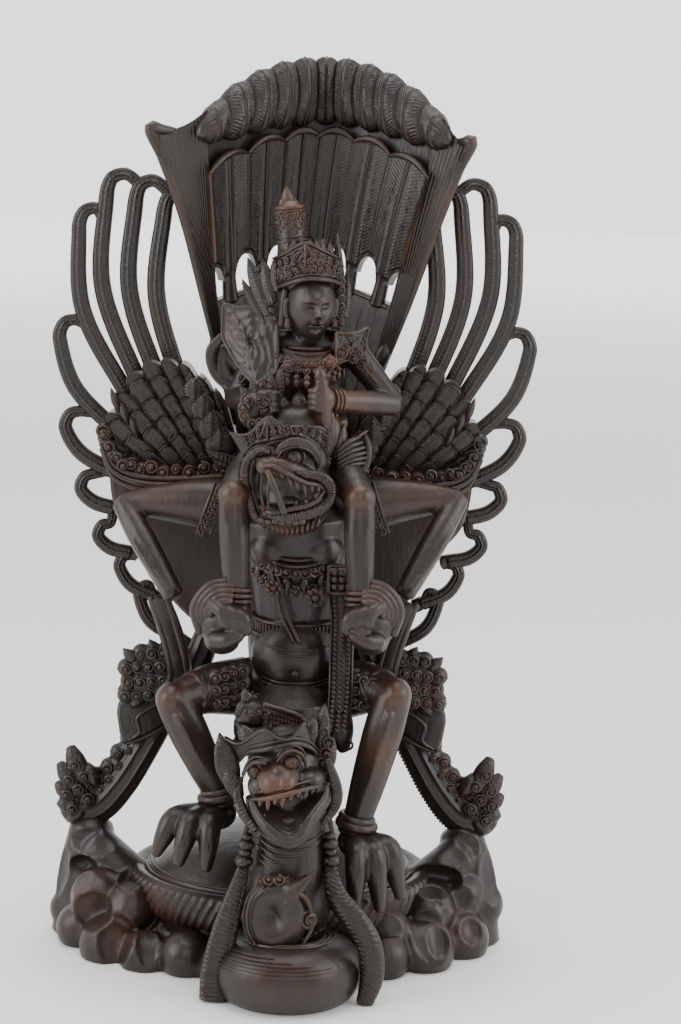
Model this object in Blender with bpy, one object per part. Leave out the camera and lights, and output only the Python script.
"""A carved wooden statue of Vishnu riding Garuda, who stands on a turtle and a serpent, as one solid block.

Metres, +Z up, the front towards -Y, the origin at the bottom centre of the whole carving. The figures are free
forms: their places and sizes are written in units, each a 460th of the statue's height, and keep their pose when
the height changes. The flat underside and the least thickness of the wood are real lengths.
"""

import math

import bmesh
import bpy
import numpy as np
from mathutils import Matrix, Vector

STATUE_WIDTH = 0.254  # across the wings
STATUE_DEPTH = 0.185  # from the serpent's coil to the back of the tail
STATUE_HEIGHT = 0.460  # from the table to the top of the tail's roll
DRAWN = (254.0, 185.0, 460.0)  # the same three sizes in the units of the drawing below
FOOT_TRIM = 0.0012  # planed off the lowest points of the rocks, so that the carving stands flat
CHISEL = 0.0014  # width of the finest cut that the solid shows
FACES = 9900  # triangles that the finished solid keeps
RELAX = 0.35  # how far each pass rounds the cut surface
WOOD_COLOUR = (0.055, 0.036, 0.028, 1.0)
WOOD_ROUGHNESS = 0.42

ROUND_SIDES = 10
BALL_SEGMENTS = 14
BALL_RINGS = 9
PATH_STEPS = 5

# Base
BASE_CENTRE = (-2.0, -8.0)
BASE_HALF = (100.0, 56.0)
ROCK_LOBES = 13
ROCK_RADIUS = 17.0
POST_X = 98.0
POST_TOP = 56.0
SHELL_CENTRE = (-2.0, -5.0, 27.0)
SHELL_HALF = (76.0, 60.0, 37.0)
SHELL_RIM = (76.0, 60.0, 32.0)
RIM_RADIUS = 7.0
COIL_CENTRE = (4.0, -82.0, 13.5)
COIL_RADIUS = 21.0
COIL_TUBE = 17.0
COIL_TILT = -6.0  # degrees, so that its front lies lower than its back

# Tail
TAIL_LOW_Z = 250.0
TAIL_ROLL_Z = 443.0
TAIL_ROLL_DROP = 23.0
TAIL_HALF_LOW = 29.0
TAIL_HALF_TOP = 62.0
TAIL_LEAN = 11.0
TAIL_BACK_Y = 60.0
TAIL_TROUGH_LOW = 6.0
TAIL_TROUGH_TOP = 42.0
TAIL_WALL = 6.5
ROLL_HALF_HEIGHTS = (18.0, 9.5)  # at the middle and at the ends
ROLL_HALF_DEPTH = 11.0
ROLL_FEATHERS = 11
ROLL_SCALLOP = 2.4
INNER_FEATHERS = 6
WINDOW_LOW = 0.485
WINDOW_TOP = 0.59
FLANGE_LEFT = (0.0, 3.0, 7.0, 14.5, 27.0)  # how far it stands out, from its root to its corner
FLANGE_RIGHT = (0.0, 5.0, 9.0, 12.0, 14.0)
FLANGE_FORWARD = 7.0

# Wings
WING_Y = 33.0
FEATHER_WIDTH = 10.4
FEATHER_DEPTH = 7.6
FEATHER_TOP_X = (63, 77, 92, 107, 117, 114, 106, 97, 86, 76)  # the highest point of each hook, from the inner feather
FEATHER_TOP_Z = (388, 394, 397, 379, 321, 273, 240, 214, 197, 181)
FEATHER_HOOK = (7, 8, 8, 7, 6.5, 6, 5.5, 5, 4.5, 4)  # radius of each hook
WING_BOARD_Y = (18.0, 35.0)

# The rider's head and dress
HEAD_CENTRE = (7.0, -25.0, 335.0)
HEAD_RADII = (13.5, 14.0, 17.5)
HAIR_RADII = (15.0, 14.0, 15.0)
CROWN_RADIUS = 14.5
CROWN_NECK_RADII = (9.5, 7.8, 7.6)
CROWN_LEAF_WIDTH = 16.0
EPAULETTE_RADII = (8.5, 7.5)


def lerp(a, b, t):
    return a + (b - a) * t


def spline(points, share):
    """The place at this share of a smooth curve through the points."""
    points = [Vector(p) for p in points]
    spans = len(points) - 1
    at = min(max(share, 0.0), 1.0) * spans
    i = min(int(at), spans - 1)
    t = at - i
    before = points[i - 1] if i else points[0] * 2 - points[1]
    after = points[i + 2] if i + 2 <= spans else points[-1] * 2 - points[-2]
    a, b = points[i], points[i + 1]
    span = (b - a).length
    pull_a = (b - before) * span / max(span + (a - before).length, 1e-6)
    pull_b = (after - a) * span / max(span + (after - b).length, 1e-6)
    return (
        a * (2 * t**3 - 3 * t**2 + 1)
        + pull_a * (t**3 - 2 * t**2 + t)
        + b * (3 * t**2 - 2 * t**3)
        + pull_b * (t**3 - t**2)
    )


def spline_value(values, share):
    return spline([(v, 0.0, 0.0) for v in values], share).x


def sized(place):
    """A place of the drawing, brought to the statue's own width, depth and height."""
    return Vector((
        place[0] * STATUE_WIDTH / DRAWN[0],
        place[1] * STATUE_DEPTH / DRAWN[1],
        place[2] * STATUE_HEIGHT / DRAWN[2],
    ))


def add_faces(bm, rings):
    """Joins rings of points into a closed skin."""
    rows = [[bm.verts.new(sized(p)) for p in ring] for ring in rings]
    count = len(rows[0])
    for low, high in zip(rows, rows[1:]):
        for i in range(count):
            j = (i + 1) % count
            bm.faces.new((low[i], low[j], high[j], high[i]))
    bm.faces.new(list(reversed(rows[0])))
    bm.faces.new(rows[-1])


def sweep(bm, points, radii, flat=1.0, face=None, sides=ROUND_SIDES, steps=PATH_STEPS):
    """A limb, rope or ribbon along a smooth path. flat is its depth as a share of its width, along face."""
    count = (len(points) - 1) * steps
    shares = [i / count for i in range(count + 1)]
    places = [spline(points, s) for s in shares]
    widths = [max(spline_value(radii, s), 0.4) for s in shares]
    rings = []
    normal = Vector(face) if face else None
    for i, place in enumerate(places):
        along = places[min(i + 1, count)] - places[max(i - 1, 0)]
        along.normalize()
        if normal is None:
            normal = along.orthogonal()
        across = along.cross(normal).normalized()
        depth = across.cross(along).normalized()
        if face is None:
            normal = depth
        ring = []
        for k in range(sides):
            a = math.tau * k / sides
            offset = across * math.cos(a) * widths[i] + depth * math.sin(a) * widths[i] * flat
            ring.append((place, offset, along, widths[i]))
        rings.append(ring)
    skin = [[p + o for p, o, _, _ in ring] for ring in rings]
    first = [p + o * 0.6 - t * w * 0.5 * min(flat, 1.0) for p, o, t, w in rings[0]]
    last = [p + o * 0.6 + t * w * 0.5 * min(flat, 1.0) for p, o, t, w in rings[-1]]
    add_faces(bm, [first] + skin + [last])


def turned_by(degrees):
    """The turn about X, then Y, then Z."""
    spin = Matrix.Identity(3)
    for angle, axis in zip(degrees, "XYZ"):
        spin = Matrix.Rotation(math.radians(angle), 3, axis) @ spin
    return spin


def ball(bm, centre, radii, turn=(0.0, 0.0, 0.0)):
    """A rounded lump with its own three radii, turned by degrees about X, Y and Z."""
    spin = turned_by(turn)
    rings = []
    for j in range(1, BALL_RINGS):
        tilt = math.pi * j / BALL_RINGS
        row = []
        for i in range(BALL_SEGMENTS):
            a = math.tau * i / BALL_SEGMENTS
            unit = (math.cos(a) * math.sin(tilt), math.sin(a) * math.sin(tilt), -math.cos(tilt))
            row.append(Vector(centre) + spin @ Vector([u * r for u, r in zip(unit, radii)]))
        rings.append(row)
    add_faces(bm, rings)


def ring(bm, centre, radius, tube, turn=(0.0, 0.0, 0.0), arc=(0.0, 360.0), squash=1.0):
    """A ring or part of one, lying flat before it is turned."""
    spin = turned_by(turn)
    points = []
    for i in range(13):
        a = math.radians(lerp(arc[0], arc[1], i / 12))
        spot = Vector((math.cos(a) * radius, math.sin(a) * radius * squash, 0.0))
        points.append(Vector(centre) + spin @ spot)
    sweep(bm, points, (tube, tube), steps=2, sides=8)


def leaf(bm, base, tip, width, thick, face=(0.0, -1.0, 0.0), bend=0.0):
    """A pointed leaf, widest below its middle, that may bend towards its face."""
    base, tip = Vector(base), Vector(tip)
    middle = base.lerp(tip, 0.5) - Vector(face) * bend
    half = width / 2
    sweep(bm, (base, middle, tip), (half * 0.7, half, 0.5), flat=thick / width, face=face, sides=8, steps=3)


def shell(bm, place, inward, columns, rows):
    """A closed curved board: place gives its front at (u, v), and inward the way to its back with its thickness."""
    us = [lerp(-1.0, 1.0, i / columns) for i in range(columns + 1)]
    vs = [i / rows for i in range(rows + 1)]
    front = [[bm.verts.new(sized(place(u, v))) for u in us] for v in vs]
    back = [[bm.verts.new(sized(place(u, v) + inward(u, v))) for u in us] for v in vs]
    for j in range(rows):
        for i in range(columns):
            bm.faces.new((front[j][i], front[j][i + 1], front[j + 1][i + 1], front[j + 1][i]))
            bm.faces.new((back[j][i], back[j + 1][i], back[j + 1][i + 1], back[j][i + 1]))
    for i in range(columns):
        bm.faces.new((front[0][i], back[0][i], back[0][i + 1], front[0][i + 1]))
        bm.faces.new((front[-1][i], front[-1][i + 1], back[-1][i + 1], back[-1][i]))
    for j in range(rows):
        bm.faces.new((front[j][0], front[j + 1][0], back[j + 1][0], back[j][0]))
        bm.faces.new((front[j][-1], back[j][-1], back[j + 1][-1], front[j + 1][-1]))


def slab(bm, outline, low_y, high_y):
    """An upright board with this outline in x and z."""
    front = [Vector((x, low_y, z)) for x, z in outline]
    back = [Vector((x, high_y, z)) for x, z in outline]
    add_faces(bm, [front, back])


def rocks(bm):
    """A ring of water-worn lobes round the foot, and the two posts that carry the sash ends."""
    for i in range(ROCK_LOBES):
        a = math.tau * i / ROCK_LOBES + 0.12
        wave = math.sin(3.7 * i)
        x = BASE_CENTRE[0] + math.cos(a) * (BASE_HALF[0] - ROCK_RADIUS * 0.6)
        y = BASE_CENTRE[1] + math.sin(a) * (BASE_HALF[1] - ROCK_RADIUS * 0.1)
        radius = ROCK_RADIUS * (1.0 + 0.16 * wave)
        top = Vector((lerp(BASE_CENTRE[0], x, 0.66), lerp(BASE_CENTRE[1], y, 0.66), 27.0 + 3 * wave))
        foot = Vector((x, y, 2.0))
        middle = top.lerp(foot, 0.55) + Vector((0, 0, 6.0 + 5.0 * wave))
        sweep(bm, (top, middle, foot), (radius * 0.7, radius, radius * 0.9))
        ball(bm, middle.lerp(foot, 0.8) + Vector((radius * 0.7, 0, 2.0)), (radius * 0.6, radius * 0.7, radius * 0.7))
    ball(bm, (BASE_CENTRE[0], BASE_CENTRE[1] + 4.0, 8.0), (BASE_HALF[0] - 8.0, BASE_HALF[1] - 4.0, 24.0))
    for side in (-1, 1):
        x = side * POST_X - 3.0
        ball(bm, (x, 0.0, 12.0), (17.0, 26.0, 22.0))
        ball(bm, (x - side * 6.0, -14.0, 18.0), (13.0, 16.0, 17.0), (20, 0, 0))
        sweep(bm, ((x, 0, 8), (x + side * 2, 3, 32), (x - 1, 5, POST_TOP)), (17.0, 14.5, 11.5), flat=0.85, face=(0, 1, 0))
        sweep(bm, ((x - side * 2, -2, 44), (x - side * 15, -7, 35), (x - side * 33, -10, 28)), (11.0, 10.5, 8.0))


def turtle(bm):
    """The domed shell with its thick turned-out rim, on which the bird's claws close."""
    ball(bm, SHELL_CENTRE, SHELL_HALF)
    count = 24
    points = []
    for i in range(count + 1):
        a = math.tau * i / count
        x = SHELL_RIM[0] * math.cos(a)
        y = SHELL_RIM[1] * math.sin(a)
        points.append((SHELL_CENTRE[0] + x, SHELL_CENTRE[1] + y, SHELL_RIM[2]))
    sweep(bm, points, (RIM_RADIUS, RIM_RADIUS), flat=0.75, face=(0, 0, 1), steps=1)


def serpent(bm):
    """The serpent: its coil on the ground, the turtle's open-mouthed head in it, the neck and the crowned head."""
    ring(bm, COIL_CENTRE, COIL_RADIUS, COIL_TUBE, turn=(COIL_TILT, 0, 0))
    ball(bm, (3, -76, 22), (24, 22, 15))
    ball(bm, (-1.0, -93, 47), (15, 13, 18))
    ring(bm, (-1.5, -103, 46), 11.0, 5.0, turn=(80, 0, 0), squash=1.25)
    leaf(bm, (8, -97, 57), (18, -95, 69), 9, 6)
    sweep(bm, ((3, -60, 30), (4, -74, 52), (5, -74, 78), (3, -72, 104)), (21, 19, 17, 16), flat=0.9, face=(0, 1, 0))
    sweep(bm, ((1, -30, 50), (3, -32, 80), (3, -28, 135)), (25, 21, 24), flat=0.95, face=(0, 1, 0))
    ball(bm, (2, -76, 113), (20, 17, 16), (0, 0, 0))
    ball(bm, (-3, -97, 110), (13, 14, 8), (-12, 12, -8))
    ball(bm, (13, -84, 109), (10, 12, 8), (0, 20, 0))
    sweep(bm, ((18, -78, 99), (14, -92, 92), (5, -103, 87), (-5, -98, 90), (-12, -84, 98)), (6, 5, 4.5, 5, 6))
    ball(bm, (3, -84, 92), (12, 14, 6), (-10, 0, 0))
    for x, y, z in ((-14, -90, 115), (4, -95, 121)):
        ball(bm, (x, y, z), (5.2, 4.6, 5.2))
    ring(bm, (-2, -74, 126), 18, 4.0, turn=(12, 4, 0), squash=0.9)
    for base, tip, width in (
        ((-17, -78, 122), (-32, -75, 132), 12),
        ((-5, -88, 126), (-2, -84, 141), 13),
        ((15, -80, 124), (19, -72, 141), 11),
        ((20, -76, 100), (25, -72, 126), 11),
        ((-20, -76, 100), (-25, -74, 120), 10),
    ):
        leaf(bm, base, tip, width, 5)
    sweep(bm, ((-6, -72, 126), (-12, -72, 137), (-18, -72, 150)), (9, 9.5, 7))
    ball(bm, (-19, -72, 153), (4, 4, 5))
    sweep(bm, ((-8, -72, 142), (4, -62, 138), (20, -52, 130)), (4, 4, 4))
    for side, top, knot, foot in (
        (-1, (-16, -80, 92), (-18, -84, 68), (-31, -96, 1)),
        (1, (24, -76, 92), (27, -82, 72), (43, -95, 1)),
    ):
        sweep(bm, (top, knot), (4, 4))
        ball(bm, knot, (5.5, 5.5, 6))
        middle = Vector(knot).lerp(Vector(foot), 0.5) + Vector((side * 1.0, -6, 0))
        sweep(bm, (knot, middle, foot), (4.5, 6.5, 7.5), flat=0.7, face=(0, 1, 0))


def bird_leg(bm, side, knee, ankle, toes):
    hip = (side * 24 + 5, -8, 137)
    sweep(bm, (hip, Vector(hip).lerp(Vector(knee), 0.5) + Vector((0, -1, 2)), knee), (17, 15.5, 10.5))
    ball(bm, knee, (11.5, 11, 12))
    middle = Vector(knee).lerp(Vector(ankle), 0.5)
    sweep(bm, (knee, middle, ankle), (10.0, 8.2, 7.0))
    ring(bm, ankle, 7.0, 3.4, turn=(0, side * 12, 0))
    heel = Vector(ankle) + Vector((0, 0, -9))
    ball(bm, heel, (10, 12, 8))
    for toe in toes:
        knuckle = heel.lerp(Vector(toe), 0.5) + Vector((0, -4, 7))
        sweep(bm, (heel, knuckle, toe), (5.5, 4.6, 2.6), sides=8)


def bird_arm(bm, side, shoulder, elbow, wrist, foot):
    """An upper arm held out level, the forearm back in, and the hand that carries the rider's foot."""
    sweep(bm, (shoulder, Vector(shoulder).lerp(Vector(elbow), 0.5), elbow), (16.0, 12.5, 6.5), flat=0.9, face=(0, 1, 0))
    sweep(bm, (elbow, Vector(elbow).lerp(Vector(wrist), 0.55), wrist), (6.5, 7.0, 6.0))
    wrist, foot = Vector(wrist), Vector(foot)
    ball(bm, foot + Vector((-side * -5, 4, -7)), (15, 12, 11), (0, side * 15, 0))
    for i in range(4):
        out = Vector((side * (13.0 - 2.2 * i), 3.0, -4.0 + 2.5 * i))
        over = Vector((side * (8.0 - 1.6 * i), 0.0, 10.0 + 1.6 * i))
        sweep(bm, (wrist + Vector((0, 0, -3)), foot + out, foot + over, foot + Vector((0, 3, 12))), (4, 3.6, 3.2, 3.0))
    sweep(bm, (foot + Vector((side * 10, -2, -12)), foot + Vector((0, -11, -8))), (5.0, 4.0))


def bird(bm):
    """Garuda: the body, legs, arms and beaked head."""
    spine = ((2, 6, 56), (3, 10, 100), (4, 18, 140), (3, 26, 180), (1, 34, 225), (0, 45, 262))
    sweep(bm, spine, (17, 18, 25, 27, 27, 27), flat=0.72, face=(0, 1, 0))
    ball(bm, (5, -10, 142), (36, 24, 21))
    ball(bm, (4, -20, 158), (22, 20, 23))
    sweep(bm, ((4, -10, 165), (4, -10, 195), (2, -10, 226)), (21, 25, 27), flat=0.8, face=(0, 1, 0))
    sweep(bm, ((22, -28, 212), (27, -30, 180), (26, -34, 150), (24, -40, 122)), (6, 5, 5, 5), flat=0.7, face=(0, 1, 0))
    ring(bm, (4, -18, 141), 22, 3.5, turn=(-14, 0, 0), squash=0.9)
    ring(bm, (4, -12, 171), 21, 3.0, turn=(-6, 0, 0), squash=0.8)
    ring(bm, (3, -16, 222), 21, 4.0, turn=(30, 0, 0), squash=0.8)
    for i in range(5):
        a = math.radians(lerp(-60, 60, i / 4))
        ball(bm, (3 + 19 * math.sin(a), -14 - 18 * math.cos(a), 204 + 4 * abs(math.sin(a))), (5.5, 4, 6))
    for side in (-1, 1):
        leaf(bm, (side * 14 + 4, -32, 138), (side * 24 + 4, -36, 112), 18, 8)
        sweep(bm, ((side * 16 + 4, -18, 138), (side * 34 + 4, -25, 143), (side * 50 + 2, -33, 147)), (18, 15.5, 10))
    sweep(bm, ((4, -30, 134), (4, -36, 112)), (14, 10), flat=0.5, face=(0, 1, 0))
    bird_leg(bm, -1, (-62, -46, 139), (-33, -42, 89), ((-60, -60, 64), (-49, -67, 64), (-36, -68, 62)))
    bird_leg(bm, 1, (62, -45, 143), (37, -54, 80), ((38, -74, 47), (49, -68, 45), (59, -59, 47)))
    bird_arm(bm, -1, (-27, -10, 231), (-87, -5, 231), (-58, -36, 190), (-27, -58, 187))
    bird_arm(bm, 1, (29, -10, 233), (85, -5, 238), (58, -36, 194), (36, -56, 188))
    head(bm)


def head(bm):
    """The bird's head, turned a little to the left, with an open beak, bulging eyes and leafy crown."""
    ball(bm, (2, -30, 256), (24, 25, 25))
    ball(bm, (-2, -35, 273), (20, 13, 12))
    ball(bm, (-5, -55, 259), (15, 14, 8), (-8, 18, -18))
    ball(bm, (12, -52, 254), (11, 12, 8), (0, 24, 10))
    sweep(bm, ((23, -48, 250), (17, -59, 239), (5, -66, 234), (-9, -62, 234), (-20, -46, 242)), (5.5, 5, 4.6, 5, 6))
    ball(bm, (1, -46, 235), (16, 16, 6))
    sweep(bm, ((-13, -66, 258), (-10, -67, 240)), (2.6, 2.6))
    for x, y, z, r in ((-0.5, -57, 267, 6.5), (-15, -51, 259, 5.5)):
        ball(bm, (x, y, z), (r, r * 0.9, r))
    sweep(bm, ((-8, -50, 270), (-22, -42, 266), (-26, -36, 250), (-19, -38, 232)), (3.5, 5, 5, 4.5))
    sweep(bm, ((-2, -52, 276), (12, -48, 272), (18, -46, 260)), (4, 4, 3.5))
    for base, tip, width in (
        ((22, -30, 250), (38, -24, 263), 18),
        ((-20, -28, 262), (-30, -22, 276), 13),
        ((-10, -40, 274), (-15, -30, 294), 14),
        ((16, -38, 270), (18, -30, 289), 13),
        ((2, -46, 276), (3, -38, 292), 14),
    ):
        leaf(bm, base, tip, width, 6)


def rider_arm(bm, shoulder, elbow, hand):
    sweep(bm, (shoulder, Vector(shoulder).lerp(Vector(elbow), 0.5), elbow), (8.0, 6.5, 5.2))
    sweep(bm, (elbow, Vector(elbow).lerp(Vector(hand), 0.5), hand), (5.2, 5.4, 5.0))
    ball(bm, hand, (6.5, 6, 7))


def rider(bm):
    """Vishnu: seated on the bird's shoulders, with a tall crown, square epaulettes and a robe."""
    ball(bm, (2, -4, 270), (26, 20, 20))
    sweep(bm, ((2, -5, 272), (4, -10, 292), (5, -12, 310)), (21, 20, 17), flat=0.75, face=(0, 1, 0))
    sweep(bm, ((-14, -26, 284), (-4, -34, 280), (8, -34, 282), (18, -24, 286)), (5, 6, 6, 5))
    leaf(bm, (-8, -34, 284), (-24, -38, 300), 13, 7)
    sweep(bm, ((-16, -9, 311), (5, -11, 314), (27, -11, 314)), (8, 9, 8))
    sweep(bm, ((6, -14, 312), (7, -20, 326)), (7.5, 7))
    ball(bm, HEAD_CENTRE, HEAD_RADII, (0, 0, -18))
    ball(bm, (6, -20, 340), HAIR_RADII)
    ring(bm, (4, -20, 349), CROWN_RADIUS - 0.5, 4.2, turn=(16, 4, 0), squash=0.95)
    sweep(bm, ((4, -20, 348), (1, -17, 359)), (CROWN_RADIUS, CROWN_RADIUS + 0.5))
    leaf(bm, (6, -33, 346), (1, -31, 366), CROWN_LEAF_WIDTH, 7)
    sweep(bm, ((1, -17, 358), (-3, -16, 370), (-6, -15, 382)), CROWN_NECK_RADII)
    leaf(bm, (-6, -15, 381), (-7, -15, 395), 7, 6)
    for base, tip, width in (
        ((-9, -15, 330), (-24, -12, 357), 12),
        ((20, -16, 326), (17, -15, 368), 8),
    ):
        leaf(bm, base, tip, width, 6)
    ring(bm, (6, -15, 309), 14, 4.2, turn=(18, 0, 0))
    plates = (((-37, -5, 331), (-16, -14, 300)), ((36, -5, 322), (24, -10, 308)))
    for (tip, low), wide in zip(plates, EPAULETTE_RADII):
        sweep(bm, (low, Vector(low).lerp(Vector(tip), 0.6), tip), (wide, wide, wide), flat=0.4, face=(0, 1, 0.2))
    rider_arm(bm, (27, -11, 314), (50, -18, 286), (13, -43, 291))
    rider_arm(bm, (-17, -10, 312), (-31, -4, 286), (-14, -38, 289))
    sweep(bm, ((-22, 2, 316), (-38, 5, 309), (-32, 2, 296), (-22, 0, 284)), (4, 5, 5, 4), flat=0.7, face=(0, 1, 0))
    sweep(bm, ((14, -46, 296), (14, -42, 280), (17, -36, 266)), (3.6, 4.4, 5.0))
    for x, tilt in ((-28, 3.0), (33.5, 2.0)):
        side = 1 if x > 0 else -1
        hip = (side * 10 + 3, -10, 262)
        sweep(bm, (hip, (x * 0.75, -32, 254), (x, -50, 243)), (10, 9, 7.5))
        sweep(bm, ((x, -50, 243), (x + tilt * 0.4, -54, 218), (x + tilt, -57, 192)), (7.4, 6.8, 6.0))
        ring(bm, (x + tilt, -57, 194), 5.6, 2.4)
        sweep(bm, ((x + tilt, -56, 188), (x + tilt, -66, 180)), (6.5, 4.5))


def sash(bm):
    """The ribbons that swing out from the hips, the lower pair resting on the rock posts."""
    for side in (-1, 1):
        def at(x, y, z):
            return Vector((side * x - 3.0, y, z))

        path = (at(46, 12, 138), at(62, 9, 118), at(72, 7, 98), at(84, 6, 78), at(100, 6, 64), at(111, 6, 72), at(113, 6, 91))
        sweep(bm, path, (9, 9, 9, 10, 12.5, 11.5, 4), flat=0.6, face=(0, 1, 0), steps=4)
        for i in range(6):
            spot = spline(path, 0.36 + 0.11 * i)
            lift = Vector((side * lerp(7, 3, i / 5), -3.0, lerp(5, 9, i / 5)))
            ball(bm, spot + lift, (5.4, 5, 5.4))
        ball(bm, at(107, 3, 58), (9, 7, 6))
        upper = (at(38, 10, 128), at(58, 8, 131), at(72, 6, 132), at(82, 6, 141))
        sweep(bm, upper, (11, 10, 9, 3), flat=0.62, face=(0, 1, 0), steps=4)
        for i in range(3):
            ball(bm, spline(upper, 0.45 + 0.22 * i) + Vector((side * 3, -3, 8 - 3 * i)), (5.6, 5, 5.6))
        stub = (at(56, 8, 124), at(70, 6, 116), at(84, 3, 113))
        sweep(bm, stub, (8, 8.5, 8), flat=0.5, face=(0, 1, 0.3))
        hem = (at(60, -30, 178), at(57, -18, 160), at(64, -8, 140), at(74, 0, 134))
        sweep(bm, hem, (4, 4.5, 5, 4), flat=0.6, face=(0, 1, 0))


def tail_top(u):
    return TAIL_ROLL_Z - TAIL_ROLL_DROP * u * u


def tail_place(u, v):
    """A point on the tail's inner face, u from side to side and v from root to roll."""
    half = spline_value((TAIL_HALF_LOW, 38.0, 47.0, 54.0, TAIL_HALF_TOP), v)
    depth = lerp(TAIL_TROUGH_LOW, TAIL_TROUGH_TOP, v)
    x = TAIL_LEAN * v * v + u * half
    y = TAIL_BACK_Y - TAIL_WALL - depth * abs(u) ** 1.7
    return Vector((x, y, lerp(TAIL_LOW_Z, tail_top(u), v)))


def roll(bm):
    """The band of feather tips that curls over the top of the tail, taller than it's deep."""
    count = ROLL_FEATHERS * 6
    rings = []
    for i in range(count + 1):
        u = lerp(-1.03, 1.03, i / count)
        middle = tail_place(u, 1.0)
        along = tail_place(u + 0.02, 1.0) - tail_place(u - 0.02, 1.0)
        back = Vector((-along.y, along.x, 0.0)).normalized()
        notch = ROLL_SCALLOP * abs(math.cos(math.pi * ROLL_FEATHERS * i / count)) ** 2
        tall = lerp(ROLL_HALF_HEIGHTS[0], ROLL_HALF_HEIGHTS[1], abs(u) ** 3) - notch
        deep = lerp(ROLL_HALF_DEPTH, ROLL_HALF_DEPTH * 0.75, abs(u) ** 3) - notch
        angles = [math.tau * k / 14 for k in range(14)]
        rings.append([middle + back * deep * math.cos(a) + Vector((0, 0, tall * math.sin(a))) for a in angles])
    add_faces(bm, rings)


def tail(bm):
    """The spread tail: a trough behind the rider, pierced between its quills, with a roll of feather tips on top."""
    def wall(u, v):
        return Vector((u * TAIL_WALL * 0.6, TAIL_WALL, 0.0))

    def low_part(u, v):
        return tail_place(u, v * WINDOW_LOW)

    def top_part(u, v):
        place = tail_place(u, lerp(WINDOW_TOP, 1.0, v))
        ridge = abs(math.cos(math.pi * INNER_FEATHERS * (u + 1) / 2))
        return place - Vector((0, 2.6 * (1.0 - ridge**2), 0))

    shell(bm, low_part, wall, 12, 8)
    shell(bm, top_part, wall, 8 * INNER_FEATHERS, 8)
    quills = 7
    for i in range(quills):
        u = lerp(-0.98, 0.98, i / (quills - 1))
        path = [tail_place(u, v) + Vector((0, 3.0, 0)) for v in (0.2, WINDOW_LOW, WINDOW_TOP, 0.75)]
        sweep(bm, path, (3.6, 4.4, 4.8, 3.0), sides=8, steps=3)
    roll(bm)
    for side in (-1, 1):
        def flange(u, v, side=side):
            """u here runs from the trough's edge, at -1, to the flared outer edge, at 1."""
            edge = tail_place(side * 0.97, lerp(0.12, 1.0, v))
            out = (u + 1) / 2
            reach = spline_value(FLANGE_RIGHT if side > 0 else FLANGE_LEFT, v) * out
            dip = 9.0 - 40.0 * out + 36.0 * out**2
            return edge + Vector((side * reach, -FLANGE_FORWARD * out * v**2, dip * v**4))

        def thickness(u, v):
            return Vector((0.0, 6.0, 0.0))

        shell(bm, flange, thickness, 8, 12)
        corner = flange(1.0, 1.0)
        sweep(bm, (corner + Vector((side * -7, 1, -2)), corner, flange(1.0, 0.9), flange(1.0, 0.8)), (3.5, 4.5, 3.6, 2.2))
        stub = tail_place(side * 1.0, 0.36)
        leaf(bm, stub + Vector((0, 4, -10)), stub + Vector((side * 6, 4, 10)), 8, 6)


def nearest(path, spot):
    """The point of a smooth path nearest to a spot."""
    places = [spline(path, i / 60) for i in range(61)]
    return min(places, key=lambda place: (place - spot).length)


def feather_paths():
    """The ten feathers of the right wing: each springs from the board and hooks over onto the one before it."""
    roots = ((58, WING_Y, 284), (86, WING_Y, 280), (94, WING_Y, 222), (58, WING_Y, 152))
    count = len(FEATHER_TOP_X)
    paths = []
    for i, (x, z, hook) in enumerate(zip(FEATHER_TOP_X, FEATHER_TOP_Z, FEATHER_HOOK)):
        root = spline(roots, i / (count - 1))
        top = Vector((x, WING_Y, z))
        shoulder = top + Vector((hook * 0.95, 0, -hook * 1.5))
        along = shoulder - root
        outward = Vector((along.z, 0, -along.x)) * lerp(0.09, 0.15, i / (count - 1))
        belly = root.lerp(shoulder, 0.55) + outward
        turn = top + Vector((hook * 0.6, 0, -hook * 0.3))
        path = [root, belly, shoulder, turn, top + Vector((-hook * 0.3, 0, 0))]
        if paths:
            path.append(nearest(paths[-1], top + Vector((-hook * 1.3, 0, -hook * 0.7))))
        paths.append(path)
    return paths


def wing(bm, side):
    """One pierced wing: ten long hooked feathers, a board of short feathers, and a scroll band over the arm."""
    def turned(point, x=0.0, y=0.0, z=0.0):
        return Vector((side * (point.x + x) - 1.5, point.y + y, point.z + z))

    for i, path in enumerate(feather_paths()):
        width = FEATHER_WIDTH / 2 * (1.0 - 0.025 * i)
        radii = [width, width, width * 0.85, width * 0.75, width * 0.7, width * 0.7][: len(path)]
        sweep(bm, [turned(p) for p in path], radii, flat=FEATHER_DEPTH / FEATHER_WIDTH, face=(0, 1, 0), sides=8, steps=5)
    outline = (
        (12, 262), (36, 261), (50, 272), (62, 296), (78, 292), (92, 272),
        (95, 243), (91, 220), (80, 206), (60, 172), (34, 160), (12, 170),
    )
    points = [(side * x - 1.5, z) for x, z in outline]
    slab(bm, points if side > 0 else list(reversed(points)), *WING_BOARD_Y)
    for row in range(4):
        for k in range(4 + row):
            share = (k + 0.5) / (4 + row)
            angle = math.radians(lerp(8, 96, share))
            reach = 26 + 13 * row
            base = Vector((38, 19 - row, 246)) + Vector((math.sin(angle) * reach, 0, math.cos(angle) * reach * 0.82))
            tip = base + Vector((math.sin(angle) * 13, -2, math.cos(angle) * 15))
            if tip.z > 250:
                leaf(bm, turned(base), turned(tip), 12, 7)
    band = (Vector((34, 14, 250)), Vector((60, 13, 249)), Vector((82, 13, 254)), Vector((92, 14, 268)))
    sweep(bm, [turned(p) for p in band], (5, 5.5, 5, 4), flat=0.9, face=(0, 1, 0))
    for i in range(6):
        spot = spline(band, 0.3 + 0.13 * i)
        ball(bm, turned(spot, z=6 - i * 0.6, x=-1.0 * i), (4.6, 5, 4.6))


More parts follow.
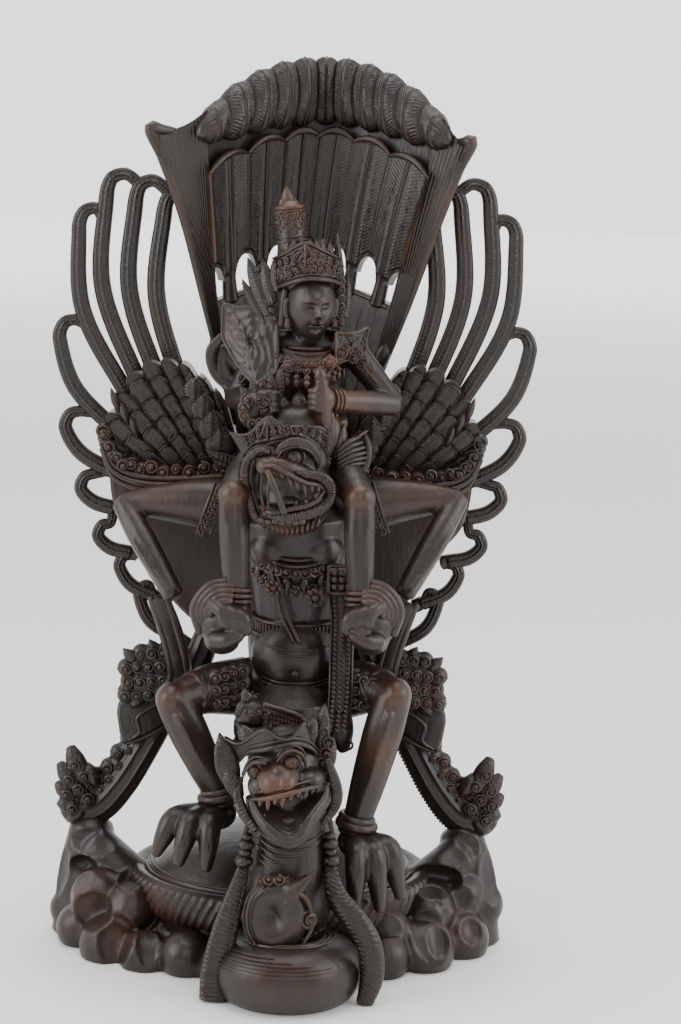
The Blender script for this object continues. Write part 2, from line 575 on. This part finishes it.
def carve():
    """All the forms in one mesh, still as separate skins that overlap."""
    bm = bmesh.new()
    rocks(bm)
    turtle(bm)
    serpent(bm)
    bird(bm)
    rider(bm)
    sash(bm)
    tail(bm)
    for side in (-1, 1):
        wing(bm, side)
    bmesh.ops.recalc_face_normals(bm, faces=bm.faces)
    mesh = bpy.data.meshes.new("carved_statue")
    bm.to_mesh(mesh)
    bm.free()
    return mesh


def wood():
    """Dark stained hardwood."""
    material = bpy.data.materials.new("stained_hardwood")
    material.use_nodes = True
    shader = material.node_tree.nodes["Principled BSDF"]
    shader.inputs["Base Color"].default_value = WOOD_COLOUR
    shader.inputs["Roughness"].default_value = WOOD_ROUGHNESS
    shader.inputs["Metallic"].default_value = 0.0
    return material


def baked(obj):
    """A new mesh of the object as its modifiers leave it."""
    graph = bpy.context.evaluated_depsgraph_get()
    mesh = bpy.data.meshes.new_from_object(obj.evaluated_get(graph))
    obj.modifiers.clear()
    obj.data = mesh
    return mesh


def fuse(obj):
    """One closed skin round all the forms, with no more faces than it needs."""
    remesh = obj.modifiers.new("one skin", "REMESH")
    remesh.mode = "VOXEL"
    remesh.voxel_size = CHISEL
    relax = obj.modifiers.new("soften", "SMOOTH")
    relax.factor = RELAX
    relax.iterations = 2
    thin = obj.modifiers.new("facets", "DECIMATE")
    mesh = baked_without(obj, thin)
    triangles = sum(len(p.vertices) - 2 for p in mesh.polygons)
    thin = obj.modifiers.new("facets", "DECIMATE")
    thin.ratio = FACES / triangles
    thin.use_collapse_triangulate = True
    baked(obj)


def baked_without(obj, modifier):
    obj.modifiers.remove(modifier)
    return baked(obj)


def drop_crumbs(bm):
    """Removes the specks that thinning leaves loose, keeping the largest body."""
    bodies, seen = [], set()
    for start in bm.verts:
        if start in seen:
            continue
        body, waiting = [], [start]
        seen.add(start)
        while waiting:
            vert = waiting.pop()
            body.append(vert)
            for edge in vert.link_edges:
                other = edge.other_vert(vert)
                if other not in seen:
                    seen.add(other)
                    waiting.append(other)
        bodies.append(body)
    bodies.sort(key=len)
    crumbs = [vert for body in bodies[:-1] for vert in body]
    bmesh.ops.delete(bm, geom=crumbs, context="VERTS")


def trim_and_place(obj):
    """Cuts the foot flat, keeps the one body and brings the origin to the bottom centre."""
    bm = bmesh.new()
    bm.from_mesh(obj.data)
    bmesh.ops.bisect_plane(
        bm,
        geom=bm.verts[:] + bm.edges[:] + bm.faces[:],
        dist=1e-7,
        plane_co=(0, 0, FOOT_TRIM),
        plane_no=(0, 0, 1),
        clear_inner=True,
    )
    bmesh.ops.holes_fill(bm, edges=[e for e in bm.edges if e.is_boundary], sides=0)
    drop_crumbs(bm)
    bmesh.ops.triangulate(bm, faces=bm.faces)
    points = np.array([v.co for v in bm.verts])
    low, high = points.min(axis=0), points.max(axis=0)
    middle = (low + high) / 2
    bmesh.ops.translate(bm, verts=bm.verts, vec=(-middle[0], -middle[1], -low[2]))
    bmesh.ops.recalc_face_normals(bm, faces=bm.faces)
    bm.to_mesh(obj.data)
    bm.free()


def main():
    for old in list(bpy.data.objects):
        bpy.data.objects.remove(old)
    statue = bpy.data.objects.new("carved_statue", carve())
    bpy.context.scene.collection.objects.link(statue)
    fuse(statue)
    trim_and_place(statue)
    statue.data.materials.clear()
    statue.data.materials.append(wood())
    statue.data.shade_smooth()
    statue.data.set_sharp_from_angle(angle=math.radians(40))


main()
